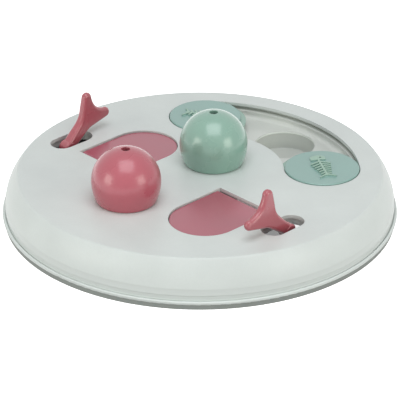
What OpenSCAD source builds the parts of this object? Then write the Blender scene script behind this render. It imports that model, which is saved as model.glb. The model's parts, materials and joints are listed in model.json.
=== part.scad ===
// Round activity board for cats: two flip lids worked by fish-tail levers,
// two sliding discs in an arc channel and two lift-off balls over treat wells.
// The board stands on z = 0, the channel's middle lies on +Y.

/* [Board] */
// Diameter over the lip
board_d = 230; // [220:1:260]
// Height of the flat top
board_h = 27.3; // [26:0.1:32]
// Wall thickness of the cover
wall = 2.4; // [1.8:0.1:2.8]
// Height of the crease between skirt and shoulder
crease_z = 12; // [10:0.5:14]
// How far the crease lies inside the lip
crease_in = 2; // [1.5:0.1:3]
// Radius of the convex shoulder, in section
shoulder_r = 28.4; // [26:0.2:34]
// Height of the shoulder arc's centre
shoulder_z = 8; // [6:0.5:9]
// Rounding between shoulder and top
edge_r = 1.6; // [1:0.1:6]
// Radius of the hollow of the skirt, in section
skirt_r = 14; // [10:0.5:20]
// Height of the lip bead
lip_h = 2; // [1.4:0.1:2.4]
// Height of the non-slip ring below the lip
ring_h = 2.9; // [2:0.1:4]
// Width of the non-slip ring
ring_w = 7; // [5:0.5:9]

/* [Layout] */
// Y of the point that the two flaps are laid out around
sym_y = -21.3; // [-24:0.1:-20]
// Y of the point midway between the two balls
balls_y = -21.8; // [-25:0.1:-21]
// Y distance between the two balls
ball_gap = 68.7; // [62:0.1:72]
// X of the line through the two balls
balls_x = -1.5; // [-3:0.1:3]
// X of the middle of a flap lid
flap_x = 45.4; // [43:0.1:48]
// Y distance from the layout point to a lid's hinge edge
flap_hinge = 13; // [11:0.1:15]
// X of the middle of a lever slot
slot_x = 81; // [80:0.1:83]

/* [Flaps] */
// Width of a lid pocket
flap_w = 41; // [36:0.5:42]
// Length of a lid pocket
flap_len = 52.6; // [48:0.2:54]
// Gap between a lid and its pocket
lid_gap = 0.5; // [0.4:0.05:0.8]
// Gap between a closed lid and the ledge under it
ledge_gap = 0.3; // [0.2:0.05:0.6]
// Gap between the hinge barrel and the pocket edge
barrel_gap = 0.4; // [0.3:0.1:1.2]
// Thickness of a lid
lid_t = 2.4; // [1.8:0.1:2.8]
// Depth of a closed lid below the top
lid_drop = 1; // [0.4:0.1:1.2]
// Outer radius of a lid's hinge barrel
barrel_r = 3; // [2.8:0.1:3.4]
// Radius of the hinge rod
rod_r = 1.5; // [1.2:0.1:1.8]
// Running clearance of the rod in its bearings
rod_play = 0.05; // [0.02:0.01:0.1]
// Length of an inner rod bearing
bearing_w = 5; // [4:0.1:5.4]
// Distance from a lid pocket to its bearings
bearing_gap = 1; // [0.6:0.1:2]
// Length of a bearing cap along Y
cap_len = 15; // [14:0.5:18]
// Height of a bearing cap
cap_h = 3.4; // [3:0.1:3.8]
// Distance of a cap screw from the end of its cap
cap_screw_in = 2.4; // [2.2:0.1:3]
// Height of the compartment floor under a lid
flap_floor_z = 15; // [6:0.5:17]

/* [Levers] */
// Length of a lever slot
slot_len = 28.4; // [27:0.2:32]
// Width of a lever slot
slot_w = 14.4; // [12:0.2:15]
// Height of the lower end of the slot's sleeve
sleeve_z = 21; // [12:0.5:22]
// Thickness of the slot's sleeve
sleeve_t = 1.4; // [1:0.1:1.6]
// Step from the slot's edge to the sleeve
sleeve_step = 0.7; // [0.4:0.1:1]
// Distance from the slot's rear end to the rod
slot_rod = 10.8; // [10:0.1:12]
// Radius of the lever's hub on the rod
hub_r = 4.2; // [3.4:0.1:4.6]
// Least wall of the hub round the rod
hub_wall = 0.9; // [0.6:0.1:1.2]
// Thickness of the lever at the hub
lever_t = 7; // [5:0.2:8]
// How far the hub stands proud of the stem, each side
hub_step = 0.2; // [0.1:0.05:0.4]
// Chamfer of the hub's edges
hub_edge = 0.8; // [0.4:0.1:1.2]
// Thickness of the lever at the fluke tips
fluke_t = 4.6; // [3.6:0.1:5]
// Lean of the lever's stem above the lid
stem_lean = 40; // [34:1:46]
// Distance from the rod to the fork of the tail
stem_len = 19.4; // [17:0.2:22]
// Width of the stem
stem_w = 8.6; // [7:0.1:9]
// Length of the upper fluke
fluke_up = 18.2; // [15:0.2:20]
// Lean of the upper fluke
fluke_up_lean = 86; // [78:1:92]
// Length of the lower fluke
fluke_low = 18; // [15:0.2:20]
// Lean of the lower fluke
fluke_low_lean = 5; // [-2:1:10]
// Tip radius of a fluke
tip_r = 3.1; // [2.6:0.1:3.4]
// Length of the bend from the stem into the upper fluke
fork_bend = 6; // [4:0.5:7]
// Length of the bend from the stem into the lower fluke
front_bend = 3.6; // [2:0.1:7]
// Rounding of the lever's edges
lever_round = 2; // [1:0.1:2.2]

/* [Sliders] */
// Radius of the channel's middle line
channel_r = 70.9; // [68:0.1:72]
// Angle of each channel end from the middle
channel_a = 43.3; // [40:0.5:46]
// Radius of a slider disc
disc_r = 21.7; // [20:0.1:22.5]
// Gap between a disc and the channel's edge
disc_gap = 0.4; // [0.3:0.05:0.6]
// How far a disc stands proud of the top
disc_proud = 0.8; // [0.4:0.1:1.2]
// Chamfer of a disc's top edge
disc_chamfer = 0.5; // [0.3:0.1:0.8]
// Thickness of the cover's lip over the runner
lip_t = 2; // [1.2:0.1:2.4]
// Thickness of a runner's flange
runner_t = 1.8; // [1.2:0.1:2.2]
// Reach of a runner under the lips
runner_reach = 2.6; // [2:0.1:3.2]
// Vertical play of a runner, above and below
runner_play = 0.25; // [0.2:0.05:0.4]
// Side play of a runner
runner_side = 0.4; // [0.3:0.05:0.6]
// Height of a slider's hub above the channel floor
hub_clear = 2.2; // [1.8:0.1:2.6]
// Radius of a runner's hub
hub_collar_r = 6.5; // [5.5:0.1:8]
// Radius of the peg under a disc
peg_r = 4; // [3.4:0.1:4.4]
// Height of the fish-bone relief
relief_h = 1; // [0.5:0.1:1.2]
// Length of the fish-bone
bone_len = 27; // [20:0.5:30]
// Half width of the fish-bone at its widest ribs
bone_half = 5.6; // [4:0.1:6]
// Width of a rib at the spine
rib_w = 1.2; // [0.8:0.1:1.4]
// Turn of the fish-bone from the channel's direction
bone_turn = 12; // [0:1:20]
// Number of rib pairs
bone_ribs = 6; // [4:1:8]

/* [Tray] */
// Depth of the channel floor below the top
channel_depth = 8.5; // [8:0.1:10]
// Rounding at the foot of the channel walls
trough_r = 3; // [1:0.5:4]
// Step from the lip back to the trough wall
trough_step = 1; // [0.6:0.1:1.4]
// Radius of a treat well
well_r = 17.9; // [15:0.1:18.5]
// Height of the well floor
well_floor_z = 7.7; // [6:0.1:12]
// Wall and floor thickness of tray and cups
cup_t = 2; // [1.4:0.1:2.2]

/* [Balls] */
// Radius of a ball
ball_r = 19.8; // [18:0.1:21]
// Height of a ball's widest part above the top
ball_mid = 12.2; // [11.5:0.1:15]
// Radius of a ball's foot
foot_r = 16.9; // [15.4:0.1:17.4]
// Rounding of a ball's foot
foot_round = 1.4; // [0.6:0.1:1.8]
// Wall thickness of a ball
ball_wall = 2.4; // [1.8:0.1:2.8]
// Radius of the scent hole
scent_r = 2.5; // [1.5:0.1:3]
// Radius of the well under a ball
ball_well_r = 13.4; // [12.6:0.1:14]
// Gap between a ball's collar and the well
collar_gap = 0.4; // [0.3:0.05:0.6]
// Depth of a ball's collar below the top
collar_h = 2.2; // [1:0.1:3]
// Height of the floor of a ball well
ball_floor_z = 8; // [6:0.5:12]

/* [Fasteners] */
// Radius of a tray screw's shank
screw_r = 1.4; // [1.2:0.1:1.6]
// Radius of a tray screw's head
screw_head_r = 2.8; // [2.4:0.1:3]
// Height of a tray screw's head
screw_head_h = 1.8; // [1.4:0.1:2]
// Distance of the outer tray screws from the lip
outer_screw_in = 13.5; // [13:0.1:14.5]
// Angle of the outer tray screws from the middle
outer_screw_a = 37; // [30:1:40]
// Distance of the inner tray screws from the tray's wall
inner_screw_out = 4.4; // [4:0.1:6]
// Angle of the inner tray screws from the middle
inner_screw_a = 46; // [36:1:50]
// Radius of a boss in the cover
boss_r = 3.2; // [2.8:0.1:3.4]
// Radius of a cap screw's shank
cap_screw_r = 0.95; // [0.8:0.05:1.1]
// Radius of a cap screw's head
cap_head_r = 1.8; // [1.5:0.1:2]
// Height of a cap screw's head
cap_head_h = 0.9; // [0.6:0.1:1]
// Height of a slider screw's head
slider_head_h = 1.4; // [1:0.1:1.6]
// Thickness of the skin left over a blind hole
skin_t = 1.6; // [1:0.1:1.8]
// Radial slack round a screw
screw_slack = 0.05; // [0.02:0.01:0.1]

/* [Hidden] */
$fn = 96;

pale = "#dfe4e3";
warm_pale = "#dcdcd4";
pink = "#c4626f";
mint = "#93b8a8";
grey = "#8b928e";
steel = "#b4b7ba";

// Small overlap that keeps cuts clean
eps = 0.05;

// Board section
lip_r = board_d / 2;
crease_r = lip_r - crease_in;
shoulder_x = crease_r - sqrt(pow(shoulder_r, 2) - pow(crease_z - shoulder_z, 2));
edge_z = board_h - edge_r;
edge_x = shoulder_x + sqrt(pow(shoulder_r - edge_r, 2) - pow(edge_z - shoulder_z, 2));
under_z = board_h - wall;
inner_top_r = edge_x;
slant_t = 1.4 * wall;
inner_mid_r = shoulder_x + sqrt(pow(shoulder_r, 2) - pow(under_z - wall - shoulder_z, 2)) - slant_t;
inner_low_r = lip_r - slant_t;
ring_r = lip_r - lip_h / 2;

// Flap hinge
axis_y = sym_y - flap_hinge + barrel_r + barrel_gap - lid_gap;
axis_z = board_h - lid_drop - barrel_r;
pocket_y = sym_y - flap_hinge - lid_gap;
lid_z = board_h - lid_drop - lid_t;
flap_in = flap_x - flap_w / 2;
flap_out = flap_x + flap_w / 2;
ledge_z = lid_z - ledge_gap;
sleeve_w = slot_w + 2 * sleeve_step;
slot_y = axis_y - slot_rod + slot_len / 2;
sleeve_in = slot_x - sleeve_w / 2 - sleeve_t;
outer_bearing_w = sleeve_in - flap_out - bearing_gap;
outer_bearing_x = sleeve_in - outer_bearing_w / 2;
inner_bearing_x = flap_in - bearing_gap - bearing_w / 2;
rod_out = slot_x + lever_t / 2 - skin_t;
rod_in = inner_bearing_x - bearing_w / 2;
outer_bearing = [outer_bearing_x, outer_bearing_w];
inner_bearing = [inner_bearing_x, bearing_w];
cap_screw_y = cap_len / 2 - cap_screw_in;
blind_z = board_h - skin_t;
cap_z = axis_z - cap_h;

// Slider channel
half_w = disc_r + disc_gap;
lip_z = board_h - lip_t;
runner_top = lip_z - runner_play;
rail_z = runner_top - runner_t - runner_play;
floor_z = board_h - channel_depth;
runner_half = half_w + runner_reach;
pocket_half = runner_half + runner_side;
trough_half = half_w - trough_step;
tray_half = pocket_half + cup_t;
disc_top = board_h + disc_proud;
collar_z = floor_z + hub_clear;
screw_rows = [
    [lip_r - outer_screw_in, outer_screw_a],
    [channel_r - tray_half - inner_screw_out, inner_screw_a]
];
ear_z = floor_z - cup_t;
ear_r = boss_r + cup_t;

// Balls
red_y = balls_y - ball_gap / 2;
green_y = balls_y + ball_gap / 2;
foot_arc_d = (pow(foot_r, 2) + pow(ball_mid, 2) - pow(ball_r, 2)) / (2 * (ball_r - foot_r));
foot_round_x = sqrt(pow(ball_r + foot_arc_d - foot_round, 2) - pow(ball_mid - foot_round, 2)) - foot_arc_d;

// Plan of an arch with its straight edge on y = 0
module arch_2d(w, len) {
    translate([-w / 2, 0]) square([w, len - w / 2]);
    translate([0, len - w / 2]) circle(w / 2);
}

module stadium_2d(w, len) {
    translate([-w / 2, -(len - w) / 2]) square([w, len - w]);
    for (s = [-1, 1]) translate([0, s * (len - w) / 2]) circle(w / 2);
}

// Plan of an arc channel about the origin, its middle on +Y
module arc_2d(half) {
    a = channel_a;
    reach = 2 * (channel_r + half);
    intersection() {
        difference() {
            circle(channel_r + half, $fn = 180);
            circle(channel_r - half, $fn = 180);
        }
        polygon([
            [0, 0], [-reach * sin(a), reach * cos(a)], [0, 2 * reach], [reach * sin(a), reach * cos(a)]
        ]);
    }
    for (s = [-1, 1]) rotate(s * a) translate([0, channel_r]) circle(half + eps);
}

module plate(z0, z1) {
    translate([0, 0, z0]) linear_extrude(z1 - z0) children();
}

// A flap piece on the left, or turned half round to the right
module flap_side(right) {
    if (right) translate([0, 2 * sym_y, 0]) rotate(180) children();
    else children();
}

module both_flaps() {
    for (right = [false, true]) flap_side(right) children();
}

module screw_spots() {
    for (row = screw_rows, s = [-1:1]) rotate(s * row[1]) translate([0, row[0], 0]) children();
}

module cap_screw_spots() {
    for (x = [outer_bearing_x, inner_bearing_x], s = [-1, 1])
        translate([-x, axis_y + s * cap_screw_y, 0]) children();
}

function unit(v) = v / norm(v);

// What a rounding of radius r about c takes away between two directions
module corner_2d(c, r, d0, d1) {
    difference() {
        polygon([c, c + 2 * r * d0, c + 2 * r * (d0 + d1), c + 2 * r * d1]);
        translate(c) circle(r);
    }
}

// Outer section of the cover, from the axis out
module cover_outer_2d() {
    difference() {
        union() {
            translate([0, ring_h]) square([lip_r, crease_z - ring_h]);
            intersection() {
                translate([0, crease_z - eps]) square([lip_r, board_h - crease_z + eps]);
                union() {
                    translate([shoulder_x, shoulder_z]) circle(shoulder_r, $fn = 180);
                    square([shoulder_x, board_h]);
                }
            }
        }
        translate([crease_r + skirt_r, crease_z - 1]) circle(skirt_r, $fn = 180);
        corner_2d([edge_x, edge_z], edge_r, [0, 1], unit([edge_x - shoulder_x, edge_z - shoulder_z]));
        translate([lip_r - lip_h, ring_h + lip_h / 2]) square([lip_h * 2, lip_h * 2]);
        translate([lip_r - lip_h / 2, 0]) square([lip_h * 2, ring_h + lip_h / 2]);
    }
    translate([lip_r - lip_h / 2, ring_h + lip_h / 2]) circle(lip_h / 2);
}

module cover_inner_2d() {
    polygon([
        [0, -1], [inner_low_r, -1], [inner_low_r, crease_z], [inner_mid_r, under_z - wall],
        [inner_top_r, under_z], [0, under_z]
    ]);
}

module lever_slot_2d(grow) {
    translate([-slot_x, slot_y]) stadium_2d(slot_w + 2 * grow, slot_len + 2 * grow);
}

module pocket_2d() {
    translate([-flap_x, pocket_y]) arch_2d(flap_w, flap_len);
}

module bearing_block() {
    for (b = [outer_bearing, inner_bearing])
        translate([-b[0] - b[1] / 2, axis_y - cap_len / 2, axis_z])
            cube([b[1], cap_len, under_z - axis_z + eps]);
}

module rod_hole(r) {
    translate([-rod_out - 1, axis_y, axis_z]) rotate([0, 90, 0]) cylinder(r = r, h = rod_out - rod_in + 2);
}

module top_cover() {
    color(pale) difference() {
        union() {
            rotate_extrude($fn = 180) difference() {
                cover_outer_2d();
                cover_inner_2d();
            }
            both_flaps() {
                plate(sleeve_z, under_z + eps) lever_slot_2d(sleeve_step + sleeve_t);
                bearing_block();
            }
            screw_spots() plate(floor_z, under_z + eps) circle(boss_r);
        }
        plate(under_z - 1, board_h + 1) arc_2d(half_w);
        plate(under_z - 1, lip_z) arc_2d(pocket_half);
        for (y = [red_y, green_y])
            translate([balls_x, y, under_z - 1]) cylinder(r = ball_well_r, h = wall + 2);
        both_flaps() {
            plate(axis_z - 1, board_h + 1) pocket_2d();
            plate(0, board_h + 1) lever_slot_2d(0);
            plate(0, under_z) lever_slot_2d(sleeve_step);
            rod_hole(rod_r + rod_play);
            translate([-slot_x, axis_y - rod_r - 3 * rod_play, 0])
                cube([slot_w, 2 * (rod_r + 3 * rod_play), axis_z]);
            cap_screw_spots() plate(axis_z - 1, blind_z) circle(cap_screw_r + screw_slack);
        }
        screw_spots() plate(0, blind_z) circle(screw_r + screw_slack);
    }
}

module non_slip_ring() {
    color(grey) rotate_extrude($fn = 180) {
        translate([ring_r - ring_w, 0]) square([ring_w, ring_h]);
        translate([inner_low_r - wall, ring_h - eps]) square([wall - eps, lip_h + eps]);
    }
}

// Channel trough: a slot with rounded feet along its walls
module trough_profile_2d() {
    w = trough_half;
    translate([0, trough_r]) square([w, channel_depth]);
    square([w - trough_r, trough_r + eps]);
    intersection() {
        translate([w - trough_r, trough_r]) circle(trough_r);
        square([w, trough_r + eps]);
    }
}

module trough() {
    translate([0, 0, floor_z]) {
        rotate(90 - channel_a) rotate_extrude(angle = 2 * channel_a, $fn = 180)
            translate([channel_r, 0]) {
                trough_profile_2d();
                mirror([1, 0]) trough_profile_2d();
            }
        for (s = [-1, 1]) rotate(s * channel_a) translate([0, channel_r, 0])
            rotate_extrude() trough_profile_2d();
    }
}

module wells(r, z0, z1) {
    for (a = [-channel_a, 0, channel_a])
        rotate(a) translate([0, channel_r, z0]) cylinder(r = r, h = z1 - z0);
}

// Arms from the tray's floor out to the screw ears
module screw_arms_2d() {
    for (row = screw_rows, s = [-1:1]) {
        reach = row[0] - channel_r;
        rotate(s * row[1]) translate([-cup_t, channel_r + min(reach, 0)]) square([2 * cup_t, abs(reach)]);
    }
}

module slider_tray() {
    color(warm_pale) difference() {
        union() {
            plate(floor_z - cup_t, under_z) arc_2d(tray_half);
            wells(well_r + cup_t, well_floor_z - cup_t, floor_z);
            plate(ear_z, floor_z) {
                screw_spots() circle(ear_r);
                screw_arms_2d();
            }
        }
        plate(rail_z, board_h) arc_2d(pocket_half);
        trough();
        wells(well_r, well_floor_z, board_h);
        screw_spots() {
            plate(0, board_h) circle(screw_r + screw_slack);
            plate(floor_z, board_h) circle(boss_r + screw_slack);
        }
    }
}

module screw(r, head_r, head_h, z_seat, z_tip) {
    translate([0, 0, z_seat - head_h]) cylinder(r = head_r, h = head_h, $fn = 48);
    translate([0, 0, z_seat - eps]) cylinder(r = r, h = z_tip - z_seat + eps, $fn = 48);
}

module tray_screws() {
    color(steel) screw_spots() screw(screw_r, screw_head_r, screw_head_h, ear_z, under_z);
}

module cup_plan_2d(w, len, y) {
    intersection() {
        translate([-flap_x, pocket_y]) arch_2d(w, len);
        translate([-flap_x - flap_w, y]) square([2 * flap_w, flap_len]);
    }
}

// Treat compartment under a lid: its rim is the ledge that the lid closes on,
// and its sides draw in beside the bearings
module flap_cup(right) {
    back_y = axis_y + barrel_r + barrel_gap;
    color(warm_pale) flap_side(right) difference() {
        plate(flap_floor_z - cup_t, under_z) {
            cup_plan_2d(flap_w, flap_len, back_y);
            cup_plan_2d(flap_w + cup_t, flap_len + cup_t / 2, axis_y + cap_len / 2 + lid_gap);
        }
        plate(ledge_z, board_h) pocket_2d();
        plate(flap_floor_z, board_h) cup_plan_2d(flap_w - 2 * cup_t, flap_len - cup_t, back_y + cup_t);
    }
}

module flap_cup_left() {
    flap_cup(false);
}

module flap_cup_right() {
    flap_cup(true);
}

module ball_cup(y) {
    color(warm_pale) translate([balls_x, y, 0]) difference() {
        union() {
            plate(ball_floor_z - cup_t, under_z) circle(ball_well_r + cup_t);
            plate(under_z - cup_t, under_z) circle(ball_well_r + 2 * cup_t);
        }
        plate(ball_floor_z, board_h) circle(ball_well_r);
    }
}

module ball_cup_red() {
    ball_cup(red_y);
}

module ball_cup_green() {
    ball_cup(green_y);
}

module hinge_cap(right, bearing) {
    x0 = -bearing[0] - bearing[1] / 2;
    color(pale) flap_side(right) difference() {
        translate([x0, axis_y - cap_len / 2, cap_z]) cube([bearing[1], cap_len, cap_h]);
        rod_hole(rod_r + rod_play);
        cap_screw_spots() plate(cap_z - 1, axis_z + 1) circle(cap_screw_r + screw_slack);
    }
}

module hinge_cap_left_outer() {
    hinge_cap(false, outer_bearing);
}

module hinge_cap_left_inner() {
    hinge_cap(false, inner_bearing);
}

module hinge_cap_right_outer() {
    hinge_cap(true, outer_bearing);
}

module hinge_cap_right_inner() {
    hinge_cap(true, inner_bearing);
}

module hinge_cap_screws() {
    color(steel) both_flaps() cap_screw_spots()
        screw(cap_screw_r, cap_head_r, cap_head_h, cap_z, blind_z - screw_slack);
}

module flap_lid(right) {
    lid_w = flap_w - 2 * lid_gap;
    color(pink) flap_side(right) difference() {
        union() {
            plate(lid_z, lid_z + lid_t) intersection() {
                translate([-flap_x, pocket_y]) arch_2d(lid_w, flap_len - lid_gap);
                translate([-flap_x - flap_w, axis_y]) square([2 * flap_w, flap_len]);
            }
            translate([-flap_x - lid_w / 2, axis_y, axis_z]) rotate([0, 90, 0])
                cylinder(r = barrel_r, h = lid_w);
        }
        rod_hole(rod_r);
    }
}

module flap_left_lid() {
    flap_lid(false);
}

module flap_right_lid() {
    flap_lid(true);
}

module hinge_rod(right) {
    color(steel) flap_side(right) translate([-rod_out, axis_y, axis_z]) rotate([0, 90, 0])
        cylinder(r = rod_r, h = rod_out - rod_in);
}

module hinge_rod_left() {
    hinge_rod(false);
}

module hinge_rod_right() {
    hinge_rod(true);
}

// Points along a quadratic curve
function bend(p, q, r, n) =
    [for (i = [0:n - 1]) let (t = i / n) (1 - t) * (1 - t) * p + 2 * t * (1 - t) * q + t * t * r];
function along(a, d) = d * [cos(a), sin(a)];
function side(a, d) = d * [-sin(a), cos(a)];
function arc(c, r, a0, a1, n) =
    [for (i = [0:n - 1]) let (a = a0 + (a1 - a0) * i / n) c + r * [cos(a), sin(a)]];

// Fish-tail outline in the Y-Z plane about the rod, anticlockwise; its foot ends inside the hub
fork = along(stem_lean, stem_len);
up_tip = fork + along(fluke_up_lean, fluke_up - tip_r);
low_tip = fork + along(fluke_low_lean, fluke_low - tip_r);
stem_foot = along(stem_lean, rod_r + hub_wall);
foot_half = sqrt(pow(hub_r, 2) - pow(rod_r + hub_wall, 2)) - eps;
notch = fork + along((fluke_up_lean + fluke_low_lean) / 2, stem_w);
corner_back = along(stem_lean, stem_len - fork_bend / 4) + side(stem_lean, stem_w / 2);
corner_front = along(stem_lean, stem_len - fork_bend / 4) - side(stem_lean, stem_w / 2);
bend_n = 10;
tip_n = 12;
notch_n = 16;
tail_outline = concat(
    bend(corner_front - along(stem_lean, front_bend), corner_front,
        corner_front + along(fluke_low_lean, front_bend), bend_n),
    arc(low_tip, tip_r, fluke_low_lean - 90, fluke_low_lean + 90, tip_n),
    bend(low_tip + side(fluke_low_lean, tip_r), notch, up_tip - side(fluke_up_lean, tip_r), notch_n),
    arc(up_tip, tip_r, fluke_up_lean - 90, fluke_up_lean + 90, tip_n),
    [up_tip + side(fluke_up_lean, tip_r)],
    bend(corner_back + along(fluke_up_lean, fork_bend), corner_back,
        corner_back - along(stem_lean, fork_bend), bend_n),
    [stem_foot + side(stem_lean, foot_half), stem_foot - side(stem_lean, foot_half)]
);

// Triangles that fill the outline: a strip across the stem and fans in the flukes, which meet at the fork
function run(a, b) = [for (i = [a:(a < b ? 1 : -1):b]) i];
function strip(a, b) =
    [for (i = [0:len(a) - 2]) each [[a[i], a[i + 1], b[i + 1]], [a[i], b[i + 1], b[i]]]];
function fan(c, a, b) = [for (i = [a:b - 1]) [c, i, i + 1]];
outline_end = len(tail_outline) - 1;
fork_low = bend_n - 1;
mid_low = bend_n + tip_n + notch_n / 4;
fork_mid = mid_low + notch_n / 4;
mid_up = fork_mid + notch_n / 4;
tip_end = bend_n + 2 * tip_n + notch_n;
fork_up = tip_end + 1;
tail_cap = concat(
    strip(concat([outline_end], run(0, fork_low)), run(outline_end - 1, fork_up)),
    [[fork_low, fork_mid, fork_up], [fork_low, bend_n, mid_low], [mid_up, tip_end, fork_up]],
    fan(bend_n, bend_n + 1, mid_low), fan(fork_low, mid_low, fork_mid),
    fan(fork_up, fork_mid, mid_up), fan(tip_end, mid_up, tip_end - 1)
);

function inward(pts, i) =
    let (n = len(pts), d = unit(pts[(i + 1) % n] - pts[(i + n - 1) % n])) [-d[1], d[0]];

// Solid from an outline and the triangles that fill it: thickness goes from t0 at the rod
// to t1 at the given reach, and the edges are rounded over
module rounded_blade(pts, fill, t0, t1, reach, r, steps = 5) {
    n = len(pts);
    levels = [for (i = [0:steps]) [r * (1 - cos(90 * (1 - i / steps))), sin(90 * (1 - i / steps))]];
    rings = concat(
        [for (i = [0:steps]) [levels[i][0], -1, levels[i][1]]],
        [for (i = [steps - 1:-1:0]) [levels[i][0], 1, levels[i][1]]]
    );
    function half(p) = (t0 + (t1 - t0) * p * reach / (reach * reach)) / 2;
    verts = [for (g = rings, i = [0:n - 1])
        let (p = pts[i] + g[0] * inward(pts, i), h = half(p))
        [g[1] * (h - r + r * g[2]), p[0], p[1]]];
    m = len(rings);
    walls = [for (k = [0:m - 2], i = [0:n - 1]) let (j = (i + 1) % n) each [
        [k * n + i, (k + 1) * n + i, (k + 1) * n + j],
        [k * n + i, (k + 1) * n + j, k * n + j]
    ]];
    far = [for (t = fill) [for (i = [2:-1:0]) t[i] + (m - 1) * n]];
    polyhedron(verts, concat(walls, fill, far));
}

module tail_lever(right) {
    h = lever_t / 2;
    reach = along(stem_lean, stem_len + fluke_low / 2);
    color(pink) flap_side(right) translate([-slot_x, axis_y, axis_z]) difference() {
        union() {
            rounded_blade(tail_outline, tail_cap, lever_t - 2 * hub_step, fluke_t, reach, lever_round);
            rotate([0, 90, 0]) rotate_extrude() polygon([
                [0, -h], [hub_r - hub_edge, -h], [hub_r, hub_edge - h],
                [hub_r, h - hub_edge], [hub_r - hub_edge, h], [0, h]
            ]);
        }
        translate([slot_x - rod_out, 0, 0]) rotate([0, 90, 0]) cylinder(r = rod_r, h = slot_w);
    }
}

module tail_lever_left() {
    tail_lever(false);
}

module tail_lever_right() {
    tail_lever(true);
}

module bar_2d(p, q, w0, w1) {
    d = unit(q - p);
    s = [-d[1], d[0]];
    polygon([p + s * w0 / 2, p - s * w0 / 2, q - s * w1 / 2, q + s * w1 / 2]);
    translate(q) circle(w1 / 2 + eps, $fn = 24);
}

// Fish skeleton, head towards -x
module fish_bone_2d() {
    head = bone_len * 0.2;
    tail = bone_len * 0.14;
    x0 = -bone_len / 2 + head;
    x1 = bone_len / 2 - tail;
    spine_w = rib_w;
    difference() {
        intersection() {
            translate([x0, 0]) circle(head);
            translate([x0 - 2 * head, -bone_half * 0.8]) square([2 * head, bone_half * 1.6]);
        }
        translate([x0 - head * 0.5, bone_half * 0.3]) circle(0.7, $fn = 24);
    }
    translate([x0 - eps, -spine_w / 2]) square([x1 - x0 + tail / 2, spine_w]);
    for (i = [0:bone_ribs - 1], s = [-1, 1]) {
        x = x0 + (x1 - x0) * (i + 0.8) / (bone_ribs + 0.4);
        reach = bone_half * (1 - 0.6 * i / bone_ribs);
        bar_2d([x, 0], [x + reach * 0.5, s * reach], rib_w, 0.8 * rib_w);
    }
    difference() {
        polygon([[x1 - 0.5, 0], [x1 + tail, bone_half * 0.9], [x1 + tail, -bone_half * 0.9]]);
        translate([x1 + tail + bone_half * 0.7, 0]) circle(bone_half);
    }
}

// A slider piece at the channel's left or right end, with its own +Y radial
module slider_end(right) {
    rotate(right ? -channel_a : channel_a) translate([0, channel_r, 0]) children();
}

module slider_disc(right) {
    color(mint) slider_end(right) difference() {
        union() {
            translate([0, 0, runner_top]) cylinder(r = disc_r, h = disc_top - runner_top - disc_chamfer);
            translate([0, 0, disc_top - disc_chamfer])
                cylinder(r1 = disc_r, r2 = disc_r - disc_chamfer, h = disc_chamfer);
            translate([0, 0, collar_z]) cylinder(r = peg_r, h = disc_top - collar_z - 1);
            plate(disc_top - 1, disc_top + relief_h)
                mirror([right ? 0 : 1, 0]) rotate(bone_turn) fish_bone_2d();
        }
        plate(collar_z - 1, disc_top - skin_t) circle(screw_r + screw_slack);
    }
}

module slider_left_disc() {
    slider_disc(false);
}

module slider_right_disc() {
    slider_disc(true);
}

// Round flange under the lips, with a hub that the disc's peg goes into
module slider_runner(right) {
    color(mint) slider_end(right) difference() {
        union() {
            plate(runner_top - runner_t, runner_top) circle(runner_half);
            plate(collar_z, runner_top) circle(hub_collar_r);
        }
        plate(0, board_h) circle(peg_r + screw_slack);
    }
}

module slider_left_runner() {
    slider_runner(false);
}

module slider_right_runner() {
    slider_runner(true);
}

module slider_screw(right) {
    head = min(hub_collar_r, peg_r + 1.4);
    color(steel) slider_end(right)
        screw(screw_r, head, slider_head_h, collar_z, disc_top - skin_t - screw_slack);
}

module slider_left_screw() {
    slider_screw(false);
}

module slider_right_screw() {
    slider_screw(true);
}

// Half section of a ball of radius r: a half circle on a foot that draws in
module ball_2d(r) {
    intersection() {
        translate([0, ball_mid]) circle(r, $fn = 180);
        translate([0, ball_mid]) square(2 * r);
    }
    intersection() {
        translate([-foot_arc_d, ball_mid]) circle(r + foot_arc_d, $fn = 180);
        square([2 * r, ball_mid + eps]);
    }
}

module ball(y) {
    collar_r = ball_well_r - collar_gap;
    translate([balls_x, y, board_h]) difference() {
        rotate_extrude() difference() {
            union() {
                difference() {
                    ball_2d(ball_r);
                    corner_2d([foot_round_x, foot_round], foot_round, [0, -1],
                        unit([foot_round_x + foot_arc_d, foot_round - ball_mid]));
                }
                translate([0, -collar_h]) square([collar_r, collar_h + ball_wall]);
            }
            intersection() {
                ball_2d(ball_r - ball_wall);
                translate([0, ball_wall]) square(3 * ball_r);
            }
            translate([0, -collar_h - 1]) square([collar_r - ball_wall, collar_h + 2 + ball_wall]);
        }
        cylinder(r = scent_r, h = 3 * ball_r);
    }
}

module ball_red() {
    color(pink) ball(red_y);
}

module ball_green() {
    color(mint) ball(green_y);
}

top_cover();
non_slip_ring();
slider_tray();
tray_screws();
flap_cup_left();
flap_cup_right();
ball_cup_red();
ball_cup_green();
hinge_cap_left_outer();
hinge_cap_left_inner();
hinge_cap_right_outer();
hinge_cap_right_inner();
hinge_cap_screws();
flap_left_lid();
flap_right_lid();
hinge_rod_left();
hinge_rod_right();
tail_lever_left();
tail_lever_right();
slider_left_disc();
slider_right_disc();
slider_left_runner();
slider_right_runner();
slider_left_screw();
slider_right_screw();
ball_red();
ball_green();
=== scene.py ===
"""Looks of the cat activity board: finishes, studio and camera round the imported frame.

Everything is in metres, in the frame of the part: +Z up, the board standing on z = 0.
"""

import json
import math

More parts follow.
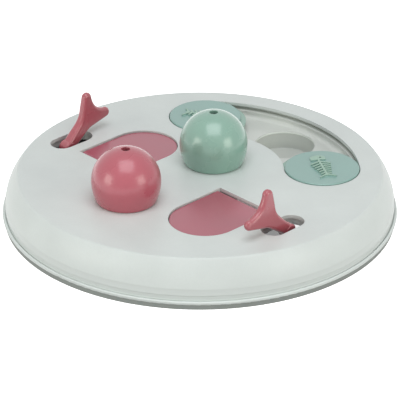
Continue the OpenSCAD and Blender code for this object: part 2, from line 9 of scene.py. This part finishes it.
import bpy
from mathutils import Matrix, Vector


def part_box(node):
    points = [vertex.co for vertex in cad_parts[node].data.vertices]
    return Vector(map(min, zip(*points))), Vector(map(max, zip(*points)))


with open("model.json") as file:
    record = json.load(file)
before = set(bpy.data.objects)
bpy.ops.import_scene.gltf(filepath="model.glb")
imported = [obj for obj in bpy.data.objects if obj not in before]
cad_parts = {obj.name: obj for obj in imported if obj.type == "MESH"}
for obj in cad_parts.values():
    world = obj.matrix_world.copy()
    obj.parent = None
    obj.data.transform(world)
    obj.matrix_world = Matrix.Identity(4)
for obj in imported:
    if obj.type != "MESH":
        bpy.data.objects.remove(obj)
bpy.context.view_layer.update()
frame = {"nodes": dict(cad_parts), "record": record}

# Camera: a long lens, seen from the front right
VIEW_AZIMUTH = 46.0
VIEW_ELEVATION = 27.75
VIEW_DISTANCE = 1.2898
VIEW_TARGET = Vector((0, 0, 0.0067))
SENSOR_WIDTH = 36.0
LENS = 198.7
VIEW_SHIFT = (0.0004, 0.00125)

# Studio: direction to each softbox, its distance, side, power and tint
SOFTBOXES = {
    "softbox_left": ((-0.25, -0.91, 0.28), 1.1, 0.50, 2.6, (1.0, 1.0, 0.90)),
    "softbox_top": ((0.21, -0.19, 0.95), 1.2, 0.90, 6.8, (0.98, 1.0, 1.04)),
    "softbox_right": ((0.94, 0.13, 0.32), 1.1, 0.50, 2.6, (1.0, 1.0, 0.90)),
}
FILL_LIGHT = 0.40
FLOOR_SIZE = 8.0
FLOOR_ALBEDO = 0.80
FLOOR_GLOW = 0.85

# Floor under the board: painted shade, its glow held low there, apart from a painted pool of light
# on the patch that shows through the right slot, which lies to the right of the X bounds and behind
# the Y bounds below
PAINTED_SHADE_GLOW = 0.3
PAINTED_SHADE_RADIUS = (0.108, 0.114)
PAINTED_LIGHT_PATCH_X = (0.031, 0.036)
PAINTED_LIGHT_PATCH_Y = (0.020, 0.025)

# Finishes: sRGB colour, roughness, depth of the moulded grain, weight of the gloss coat and
# radius of the soft edges
FINISHES = {
    "cover": ((212, 218, 215), 0.42, 6e-6, 0.0, 0.0005),
    "ring": ((138, 143, 139), 0.62, 14e-6, 0.0, 0.0005),
    "tray": ((208, 212, 206), 0.45, 6e-6, 0.0, 0.0005),
    "channel": ((208, 212, 206), 0.42, 6e-6, 0.4, 0.0012),
    "pink": ((183, 92, 104), 0.28, 4e-6, 0.45, 0.0005),
    "mint": ((137, 175, 159), 0.28, 4e-6, 0.65, 0.0005),
    "lid": ((166, 78, 95), 0.38, 4e-6, 0.8, 0.0005),
    "disc": ((138, 173, 165), 0.34, 4e-6, 0.4, 0.0005),
    "lever": ((172, 81, 91), 0.26, 4e-6, 0.75, 0.0005),
}
# Nodes with a finish of their own, in place of the one of their material slot
OWN_FINISHES = {
    "channel": ("slider_tray",),
    "lid": ("flap_left_lid", "flap_right_lid"),
    "disc": ("slider_left_disc", "slider_right_disc"),
    "lever": ("tail_lever_left", "tail_lever_right"),
}
COAT_ROUGHNESS = 0.18
EDGE_SAMPLES = 6

# Painted light and shade at heights above the floor: on the discs' fish-bones, in the tray and
# round the cover
# Painted highlight on the discs' raised fish-bones: its colour, and the depth under the disc's top
# where it starts
RELIEF_PAINTED_HIGHLIGHT = (150, 184, 166)
RELIEF_DEPTH = 0.0008
# Painted shade down in the channel's wells, and a painted highlight on their rim at the channel
# floor
WELL_HEIGHTS = (0.0077, 0.0130)
WELL_SHADE = 0.86
CHANNEL_FLOOR = 0.0188
RIM_HEIGHT = 0.0012
RIM_HIGHLIGHT = 1.45
RIM_SOFT = RIM_HEIGHT / 4
# Painted shade on the cover's skirt and lip, and a painted highlight along the bead between them
SKIRT_HEIGHTS = (0.0056, 0.0120)
SKIRT_SHADE = 0.94
LIP_HEIGHTS = (0.0020, 0.0048)
LIP_SHADE = 0.93
BEAD_HEIGHTS = (0.0046, 0.0058)
BEAD_HIGHLIGHT = 1.15
BAND_SOFT = 0.0004

# Noise in the plastic: scale and detail of each layer, and how far it goes
NOISE_MIDDLE = (0.3, 0.7)
CLOUDS = (38.0, 4.0)
CLOUD_SHADE = 0.035
ROUGHNESS_SPREAD = 0.05
SPECKS = (900.0, 2.0)
SPECK_SHARE = 0.06
SPECK_SHADE = 0.7
GRAIN = (2600.0, 3.0)

# Steel: sRGB colour and roughness, then scale and detail of its grain, and how far it goes
STEEL = ((186, 188, 190), 0.30)
STEEL_GRAIN = (2600.0, 2.0)
STEEL_SHADES = (0.88, 1.08)
STEEL_SPREAD = 0.08
STEEL_DEPTH = 4e-6


def linear(srgb):
    """Linear RGBA of an 8-bit sRGB colour."""
    parts = [c / 255 for c in srgb]
    return [p / 12.92 if p <= 0.04045 else ((p + 0.055) / 1.055) ** 2.4 for p in parts] + [1.0]


def grey(level):
    """Linear RGBA of a neutral grey."""
    return [level] * 3 + [1.0]


def shade(colour, factor):
    """A linear colour made lighter or darker."""
    return [min(1.0, c * factor) for c in colour[:3]] + [1.0]


# Colour sockets of a Mix node, by number, since its other types have sockets of the same names
MIX_FIRST, MIX_SECOND, MIX_RESULT = 6, 7, 2


class Graph:
    """A short way to add and join the nodes of a material or world."""

    def __init__(self, owner):
        owner.use_nodes = True
        self.tree = owner.node_tree
        self.tree.nodes.clear()

    def add(self, kind, **inputs):
        node = self.tree.nodes.new(kind)
        for name, value in inputs.items():
            node.inputs[name.replace("_", " ")].default_value = value
        return node

    def join(self, output, socket):
        self.tree.links.new(output, socket)

    def noise(self, coords, scale, detail):
        node = self.add("ShaderNodeTexNoise", Scale=scale, Detail=detail)
        self.join(coords.outputs["Object"], node.inputs["Vector"])
        return node.outputs["Fac"]

    def spread(self, value, low, high):
        """The middle of a noise stretched to run from low to high."""
        start, end = NOISE_MIDDLE
        node = self.add("ShaderNodeMapRange", From_Min=start, From_Max=end, To_Min=low, To_Max=high)
        self.join(value, node.inputs["Value"])
        return node.outputs["Result"]

    def feed(self, socket, value):
        """Joins an output to a socket, or sets the socket to a plain value."""
        if isinstance(value, bpy.types.NodeSocket):
            self.join(value, socket)
        else:
            socket.default_value = value

    def blend(self, factor, first, second):
        """From the first colour at factor 0 to the second at 1."""
        node = self.add("ShaderNodeMix")
        node.data_type = "RGBA"
        self.join(factor, node.inputs["Factor"])
        self.feed(node.inputs[MIX_FIRST], first)
        self.feed(node.inputs[MIX_SECOND], second)
        return node.outputs[MIX_RESULT]

    def bump(self, height, distance, normal=None):
        node = self.add("ShaderNodeBump", Distance=distance)
        self.join(height, node.inputs["Height"])
        if normal:
            self.join(normal, node.inputs["Normal"])
        return node.outputs["Normal"]

    def soft_edges(self, radius):
        """Normals that roll over the edges, as on a moulded piece."""
        node = self.add("ShaderNodeBevel", Radius=radius)
        node.samples = EDGE_SAMPLES
        return node.outputs["Normal"]

    def position(self, axis):
        """A coordinate in the part's frame."""
        place = self.add("ShaderNodeNewGeometry")
        split = self.add("ShaderNodeSeparateXYZ")
        self.join(place.outputs["Position"], split.inputs["Vector"])
        return split.outputs[axis]

    def from_middle(self):
        """Distance from the part's origin."""
        place = self.add("ShaderNodeNewGeometry")
        node = self.add("ShaderNodeVectorMath")
        node.operation = "LENGTH"
        self.join(place.outputs["Position"], node.inputs[0])
        return node.outputs["Value"]

    def ramp(self, value, low, high):
        """0 up to a low value, 1 from a high one."""
        node = self.add("ShaderNodeMapRange", From_Min=low, From_Max=high)
        self.join(value, node.inputs["Value"])
        return node.outputs["Result"]

    def between(self, low, high, soft):
        """1 between two heights in the part's frame, with soft ends, and 0 elsewhere."""
        height = self.position("Z")
        above = self.ramp(height, low, low + soft)
        below = self.ramp(height, high, high - soft)
        return self.math("MULTIPLY", above, below)

    def math(self, operation, first, second):
        node = self.add("ShaderNodeMath")
        node.operation = operation
        self.feed(node.inputs[0], first)
        self.feed(node.inputs[1], second)
        return node.outputs["Value"]

    def surface(self, shader, output_kind="ShaderNodeOutputMaterial"):
        """Ends the graph with a shader."""
        self.join(shader, self.add(output_kind).inputs["Surface"])


def painted_relief_highlight(graph, tinted, colour):
    """A painted highlight: a lighter tint on the fish-bone that stands on a disc."""
    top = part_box(OWN_FINISHES["disc"][0])[1][2]
    raised = graph.ramp(graph.position("Z"), top - RELIEF_DEPTH, top)
    return graph.blend(raised, tinted, linear(RELIEF_PAINTED_HIGHLIGHT))


def painted_well_shade_and_rim_highlight(graph, tinted, colour):
    """Painted shade, a darker tint down in the wells, and a painted highlight, a light rim where
    they open into the channel.
    """
    up = graph.ramp(graph.position("Z"), *WELL_HEIGHTS)
    deep = graph.blend(up, shade(colour, WELL_SHADE), tinted)
    rim = graph.between(CHANNEL_FLOOR - RIM_HEIGHT, CHANNEL_FLOOR, RIM_SOFT)
    return graph.blend(rim, deep, shade(colour, RIM_HIGHLIGHT))


def painted_skirt_shade_and_bead_highlight(graph, tinted, colour):
    """Painted shade, a darker skirt under the shoulder and a darker lip, and a painted highlight, a
    light line along the bead between.
    """
    bands = (SKIRT_HEIGHTS, SKIRT_SHADE), (LIP_HEIGHTS, LIP_SHADE), (BEAD_HEIGHTS, BEAD_HIGHLIGHT)
    for heights, factor in bands:
        tinted = graph.blend(graph.between(*heights, BAND_SOFT), tinted, shade(colour, factor))
    return tinted


# Finishes whose colour changes over the piece by painted light and shade
TOUCHES = {"disc": painted_relief_highlight, "channel": painted_well_shade_and_rim_highlight, "cover": painted_skirt_shade_and_bead_highlight}


def plastic(name, srgb, roughness, grain, coat, edge):
    """Moulded plastic: faint clouding, fine specks, a fine grain and an uneven gloss."""
    material = bpy.data.materials.new("plastic_" + name)
    graph = Graph(material)
    colour = linear(srgb)
    coords = graph.add("ShaderNodeTexCoord")
    clouds = graph.noise(coords, *CLOUDS)
    specks = graph.noise(coords, *SPECKS)
    dark, light = shade(colour, 1 - CLOUD_SHADE), shade(colour, 1 + CLOUD_SHADE)
    cloudy = graph.blend(graph.spread(clouds, 0, 1), dark, light)
    tinted = graph.blend(graph.spread(specks, 0, SPECK_SHARE), cloudy, shade(colour, SPECK_SHADE))
    # Painted highlights and shade of the finishes in TOUCHES, laid over their colour
    if name in TOUCHES:
        tinted = TOUCHES[name](graph, tinted, colour)
    shader = graph.add("ShaderNodeBsdfPrincipled", Coat_Weight=coat, Coat_Roughness=COAT_ROUGHNESS)
    graph.join(tinted, shader.inputs["Base Color"])
    gloss = graph.spread(clouds, roughness - ROUGHNESS_SPREAD, roughness + ROUGHNESS_SPREAD)
    graph.join(gloss, shader.inputs["Roughness"])
    grained = graph.bump(graph.noise(coords, *GRAIN), grain, graph.soft_edges(edge))
    for socket in ("Normal", "Coat Normal"):
        graph.join(grained, shader.inputs[socket])
    graph.surface(shader.outputs["BSDF"])
    return material


def drawn_steel(srgb, roughness):
    """Bright steel of the rods and screws, with a fine uneven grain."""
    material = bpy.data.materials.new("drawn_steel")
    graph = Graph(material)
    colour = linear(srgb)
    coords = graph.add("ShaderNodeTexCoord")
    grain = graph.noise(coords, *STEEL_GRAIN)
    shader = graph.add("ShaderNodeBsdfPrincipled", Metallic=1.0)
    dark, light = (shade(colour, factor) for factor in STEEL_SHADES)
    graph.join(graph.blend(graph.spread(grain, 0, 1), dark, light), shader.inputs["Base Color"])
    gloss = graph.spread(grain, roughness - STEEL_SPREAD, roughness + STEEL_SPREAD)
    graph.join(gloss, shader.inputs["Roughness"])
    graph.join(graph.bump(grain, STEEL_DEPTH), shader.inputs["Normal"])
    graph.surface(shader.outputs["BSDF"])
    return material


def seen_directly(graph):
    """1 for rays that show the background: from the camera, or by a mirror or glass."""
    path = graph.add("ShaderNodeLightPath")
    total = path.outputs["Is Camera Ray"]
    for name in ("Is Glossy Ray", "Is Transmission Ray"):
        total = graph.math("MAXIMUM", total, path.outputs[name])
    return total


def floor_white():
    """Matte white with a glow that only a view of the floor shows, held low under the board as
    painted shade, with a painted pool of light behind the right slot.
    """
    material = bpy.data.materials.new("floor_white")
    graph = Graph(material)
    matte = graph.add("ShaderNodeBsdfDiffuse", Color=grey(FLOOR_ALBEDO))
    glow = graph.add("ShaderNodeEmission", Color=grey(1.0))
    # Painted shade under the board, and a painted pool of light behind the right slot
    outside = graph.ramp(graph.from_middle(), *PAINTED_SHADE_RADIUS)
    right = graph.ramp(graph.position("X"), *PAINTED_LIGHT_PATCH_X)
    back = graph.ramp(graph.position("Y"), *PAINTED_LIGHT_PATCH_Y)
    painted_light_and_shade = graph.math("MAXIMUM", outside, graph.math("MULTIPLY", right, back))
    painted_light_and_shade = graph.math("MAXIMUM", painted_light_and_shade, PAINTED_SHADE_GLOW)
    level = graph.math("MULTIPLY", graph.math("MULTIPLY", seen_directly(graph), FLOOR_GLOW), painted_light_and_shade)
    graph.join(level, glow.inputs["Strength"])
    both = graph.add("ShaderNodeAddShader")
    graph.join(matte.outputs["BSDF"], both.inputs[0])
    graph.join(glow.outputs["Emission"], both.inputs[1])
    graph.surface(both.outputs["Shader"])
    return material


def add_floor():
    """A white floor that keeps the object's shadow, with painted shade under the board and a
    painted pool of light behind the right slot.
    """
    half = FLOOR_SIZE / 2
    corners = [(-half, -half, 0), (half, -half, 0), (half, half, 0), (-half, half, 0)]
    mesh = bpy.data.meshes.new("floor")
    mesh.from_pydata(corners, [], [(0, 1, 2, 3)])
    mesh.materials.append(floor_white())
    floor = bpy.data.objects.new("floor", mesh)
    bpy.context.collection.objects.link(floor)


def add_studio():
    """White surroundings, an even fill and the softboxes."""
    world = bpy.data.worlds.new("studio")
    bpy.context.scene.world = world
    graph = Graph(world)
    fill = graph.add("ShaderNodeBackground", Color=grey(1.0), Strength=FILL_LIGHT)
    white = graph.add("ShaderNodeBackground", Color=grey(1.0), Strength=1.0)
    mix = graph.add("ShaderNodeMixShader")
    graph.join(seen_directly(graph), mix.inputs["Fac"])
    graph.join(fill.outputs["Background"], mix.inputs[1])
    graph.join(white.outputs["Background"], mix.inputs[2])
    graph.surface(mix.outputs["Shader"], "ShaderNodeOutputWorld")
    for name, (direction, distance, side, power, tint) in SOFTBOXES.items():
        light = bpy.data.lights.new(name, "AREA")
        light.size = side
        light.energy = power
        light.color = tint
        lamp = bpy.data.objects.new(name, light)
        lamp.location = Vector(direction).normalized() * distance
        lamp.rotation_euler = Vector(direction).to_track_quat("Z", "Y").to_euler()
        bpy.context.collection.objects.link(lamp)


def add_camera():
    """The photograph's view of the board."""
    azimuth = math.radians(VIEW_AZIMUTH)
    rise = math.radians(VIEW_ELEVATION)
    level = math.cos(rise)
    back = Vector((math.sin(azimuth) * level, -math.cos(azimuth) * level, math.sin(rise)))
    data = bpy.data.cameras.new("camera")
    data.sensor_width = SENSOR_WIDTH
    data.lens = LENS
    data.shift_x, data.shift_y = VIEW_SHIFT
    camera = bpy.data.objects.new("camera", data)
    camera.location = VIEW_TARGET + back * VIEW_DISTANCE
    camera.rotation_euler = (-back).to_track_quat("-Z", "Y").to_euler()
    bpy.context.collection.objects.link(camera)
    bpy.context.scene.camera = camera


def finish_nodes():
    """Gives every node its own finish, or the one of its material slot."""
    materials = {name: plastic(name, *values) for name, values in FINISHES.items()}
    materials["steel"] = drawn_steel(*STEEL)
    slots = {part["node"]: part["material_slot"] for part in frame["record"]["subparts"]}
    for finish, names in OWN_FINISHES.items():
        slots.update({name: finish for name in names})
    for name, node in frame["nodes"].items():
        node.data.materials.clear()
        node.data.materials.append(materials[slots[name]])


bpy.context.scene.view_settings.view_transform = "Standard"
add_camera()
add_studio()
add_floor()
finish_nodes()
